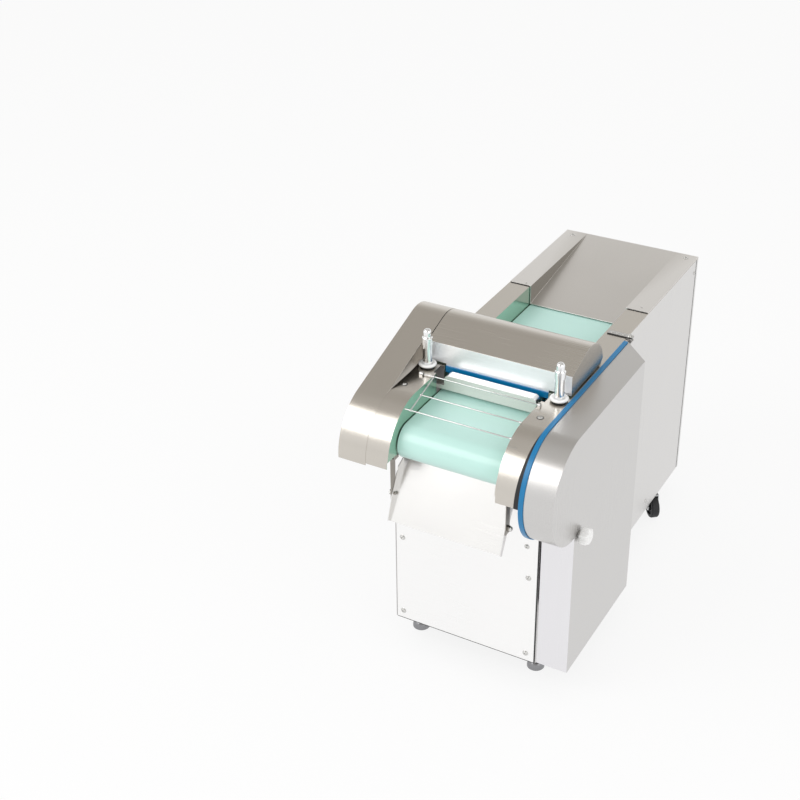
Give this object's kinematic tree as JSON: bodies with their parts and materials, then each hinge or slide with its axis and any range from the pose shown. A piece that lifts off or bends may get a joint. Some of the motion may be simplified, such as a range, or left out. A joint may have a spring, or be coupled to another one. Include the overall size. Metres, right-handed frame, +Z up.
{
  "type": "vegetable cutting machine",
  "caption": "Free-standing stainless vegetable cutter: a conveyor and press belt feed a crank-driven guillotine knife, with hinged covers, a guard grille and a tilting chute.",
  "frame": {"origin": "on the floor under the middle of the machine's plan box", "axes": "+X to the right seen from the outlet end, +Y from the outlet towards the hopper at the rear, +Z up"},
  "size_m": [0.598, 1.171, 0.882],
  "materials": {
    "cabinet_steel": "long-grain brushed stainless sheet",
    "front_steel": "pale brushed stainless sheet",
    "rim_steel": "warm brushed stainless sheet",
    "cover_steel": "brushed stainless sheet, welded and ground edges",
    "chute_steel": "brushed stainless sheet",
    "frame_steel": "satin grey enamel",
    "machined_steel": "turned and milled steel",
    "polished_steel": "polished",
    "cast_iron": "as cast, rims turned",
    "motor_paint": "satin blue-grey enamel",
    "belt_green": "smooth food belt, pale mint green",
    "black_rubber": "matte black rubber",
    "chain_steel": "oiled roller chain",
    "blue_trim": "glossy edge trim",
    "white_plastic": "turned white plastic",
    "knob_metal": "polished cast aluminium",
    "zinc_steel": "zinc-plated pressed steel",
    "wheel_tread": "hard black rubber",
    "box_paint": "light grey enamel",
    "button_green": "moulded",
    "button_red": "moulded"
  },
  "bodies": {
    "cabinet": {"side_panel_left": "cabinet_steel", "side_panel_right": "cabinet_steel", "front_panel": "front_steel", "rear_panel": "cabinet_steel", "base_frame": "frame_steel", "leveling_feet": "zinc_steel", "trough_side_left": "rim_steel", "trough_side_right": "rim_steel", "belt_bed": "rim_steel", "conveyor_belt": "belt_green", "roller_bearings": "cast_iron", "hopper_tray": "rim_steel", "left_housing": "cover_steel", "pivot_lugs": "machined_steel", "post_bushings": "white_plastic", "guide_blocks": "frame_steel", "shaft_bearings": "cast_iron", "motor": "motor_paint", "motor_base": "frame_steel", "drive_belt": "black_rubber", "feed_chain": "chain_steel", "cover_pivots": "machined_steel", "latch_bracket": "machined_steel", "chute_brackets": "chute_steel", "caster_plates": "zinc_steel", "switch_box": "box_paint"},
    "hood": {"hood": "cover_steel", "hood_trim": "blue_trim"},
    "grille": {"guard_grille": "polished_steel"},
    "knife": {"guide_posts": "polished_steel", "dome_nuts": "polished_steel", "knife_holder": "machined_steel", "knife_blade": "polished_steel", "crosshead": "machined_steel"},
    "connecting_rod": {"connecting_rod": "machined_steel"},
    "drive_shaft": {"crank_shaft": "machined_steel", "flywheel": "cast_iron", "feed_crank": "machined_steel"},
    "motor_shaft": {"motor_pulley": "cast_iron"},
    "clutch": {"clutch_arm": "machined_steel"},
    "feed_rod": {"feed_rod": "machined_steel"},
    "front_roller": {"front_roller": "machined_steel"},
    "rear_roller": {"rear_roller": "machined_steel"},
    "gear_shaft": {"gear_shaft": "machined_steel"},
    "press_drive": {"press_drive_roller": "machined_steel"},
    "press_frame": {"press_arms": "machined_steel", "press_belt": "belt_green"},
    "press_idler": {"press_idler": "machined_steel"},
    "side_cover": {"side_cover": "cover_steel", "cover_trim": "blue_trim"},
    "lock_knob": {"lock_knob": "knob_metal"},
    "chute": {"discharge_chute": "chute_steel"},
    "caster_fork_left": {"caster_fork_left": "zinc_steel"},
    "caster_fork_right": {"caster_fork_right": "zinc_steel"},
    "caster_wheel_left": {"caster_wheel_left": "wheel_tread"},
    "caster_wheel_right": {"caster_wheel_right": "wheel_tread"},
    "start_button": {"start_button": "button_green"},
    "stop_button": {"stop_button": "button_red"}
  },
  "joints": [
    {"name": "hood_hinge", "type": "hinge", "parent": "cabinet", "child": "hood", "pos_m": [-0.023, -0.1105, 0.8], "axis": [-1, 0, 0], "range_deg": [0, 75]},
    {"name": "grille_hinge", "type": "hinge", "parent": "cabinet", "child": "grille", "pos_m": [-0.023, -0.3615, 0.7813], "axis": [-1, 0, 0], "range_deg": [0, 95]},
    {"name": "knife_stroke", "type": "slide", "parent": "cabinet", "child": "knife", "axis": [0, 0, 1], "range_m": [0, 0.03]},
    {"name": "rod_swing", "type": "hinge", "parent": "knife", "child": "connecting_rod", "pos_m": [-0.023, -0.3165, 0.522], "axis": [1, 0, 0], "range_deg": [-3.6, 3.6]},
    {"name": "crank_spin", "type": "hinge", "parent": "cabinet", "child": "drive_shaft", "pos_m": [-0.023, -0.3165, 0.3], "axis": [1, 0, 0], "continuous": true},
    {"name": "motor_spin", "type": "hinge", "parent": "cabinet", "child": "motor_shaft", "pos_m": [0.127, -0.1365, 0.208], "axis": [1, 0, 0], "continuous": true},
    {"name": "clutch_swing", "type": "hinge", "parent": "cabinet", "child": "clutch", "pos_m": [0.217, -0.4935, 0.677], "axis": [1, 0, 0], "range_deg": [-13, 13]},
    {"name": "feed_rod_swing", "type": "hinge", "parent": "clutch", "child": "feed_rod", "pos_m": [0.237, -0.4065, 0.64], "axis": [1, 0, 0], "range_deg": [-13, 13]},
    {"name": "front_roller_spin", "type": "hinge", "parent": "cabinet", "child": "front_roller", "pos_m": [-0.023, -0.4935, 0.677], "axis": [1, 0, 0], "continuous": true},
    {"name": "rear_roller_spin", "type": "hinge", "parent": "cabinet", "child": "rear_roller", "pos_m": [-0.023, 0.2435, 0.677], "axis": [1, 0, 0], "continuous": true},
    {"name": "gear_shaft_spin", "type": "hinge", "parent": "cabinet", "child": "gear_shaft", "pos_m": [-0.248, -0.18346, 0.70695], "axis": [1, 0, 0], "continuous": true},
    {"name": "press_drive_spin", "type": "hinge", "parent": "cabinet", "child": "press_drive", "pos_m": [-0.023, -0.1465, 0.751], "axis": [1, 0, 0], "continuous": true},
    {"name": "press_lift", "type": "hinge", "parent": "cabinet", "child": "press_frame", "pos_m": [-0.023, -0.1465, 0.751], "axis": [-1, 0, 0], "range_deg": [0, 8]},
    {"name": "press_idler_spin", "type": "hinge", "parent": "press_frame", "child": "press_idler", "pos_m": [-0.023, -0.2465, 0.751], "axis": [1, 0, 0], "continuous": true},
    {"name": "cover_hinge", "type": "hinge", "parent": "cabinet", "child": "side_cover", "pos_m": [0.185, 0.0555, 0.4], "axis": [0, 0, 1], "range_deg": [0, 115]},
    {"name": "lock_turn", "type": "hinge", "parent": "side_cover", "child": "lock_knob", "pos_m": [0.267, -0.4115, 0.49], "axis": [1, 0, 0], "continuous": true},
    {"name": "chute_tilt", "type": "hinge", "parent": "cabinet", "child": "chute", "pos_m": [-0.023, -0.5325, 0.539], "axis": [1, 0, 0], "range_deg": [-20, 6]},
    {"name": "caster_swivel_left", "type": "hinge", "parent": "cabinet", "child": "caster_fork_left", "pos_m": [-0.189, 0.4375, 0.072], "axis": [0, 0, 1], "continuous": true},
    {"name": "caster_roll_left", "type": "hinge", "parent": "caster_fork_left", "child": "caster_wheel_left", "pos_m": [-0.16457, 0.40839, 0.034], "axis": [0.766, 0.6428, 0], "continuous": true},
    {"name": "caster_swivel_right", "type": "hinge", "parent": "cabinet", "child": "caster_fork_right", "pos_m": [0.143, 0.4375, 0.072], "axis": [0, 0, 1], "continuous": true},
    {"name": "caster_roll_right", "type": "hinge", "parent": "caster_fork_right", "child": "caster_wheel_right", "pos_m": [0.16743, 0.40839, 0.034], "axis": [0.766, 0.6428, 0], "continuous": true},
    {"name": "start_press", "type": "slide", "parent": "cabinet", "child": "start_button", "axis": [1, 0, 0], "range_m": [0, 0.004], "stiffness_N_per_m": 400},
    {"name": "stop_press", "type": "slide", "parent": "cabinet", "child": "stop_button", "axis": [1, 0, 0], "range_m": [0, 0.004], "stiffness_N_per_m": 400}
  ],
  "couplings": [
    {"joint": "motor_spin", "follows": "crank_spin", "ratio": 3},
    {"joint": "feed_rod_swing", "follows": "clutch_swing", "ratio": -1},
    {"joint": "rear_roller_spin", "follows": "front_roller_spin", "ratio": 1},
    {"joint": "gear_shaft_spin", "follows": "front_roller_spin", "ratio": 1},
    {"joint": "press_drive_spin", "follows": "front_roller_spin", "ratio": -1.875},
    {"joint": "press_idler_spin", "follows": "front_roller_spin", "ratio": -1.875}
  ]
}
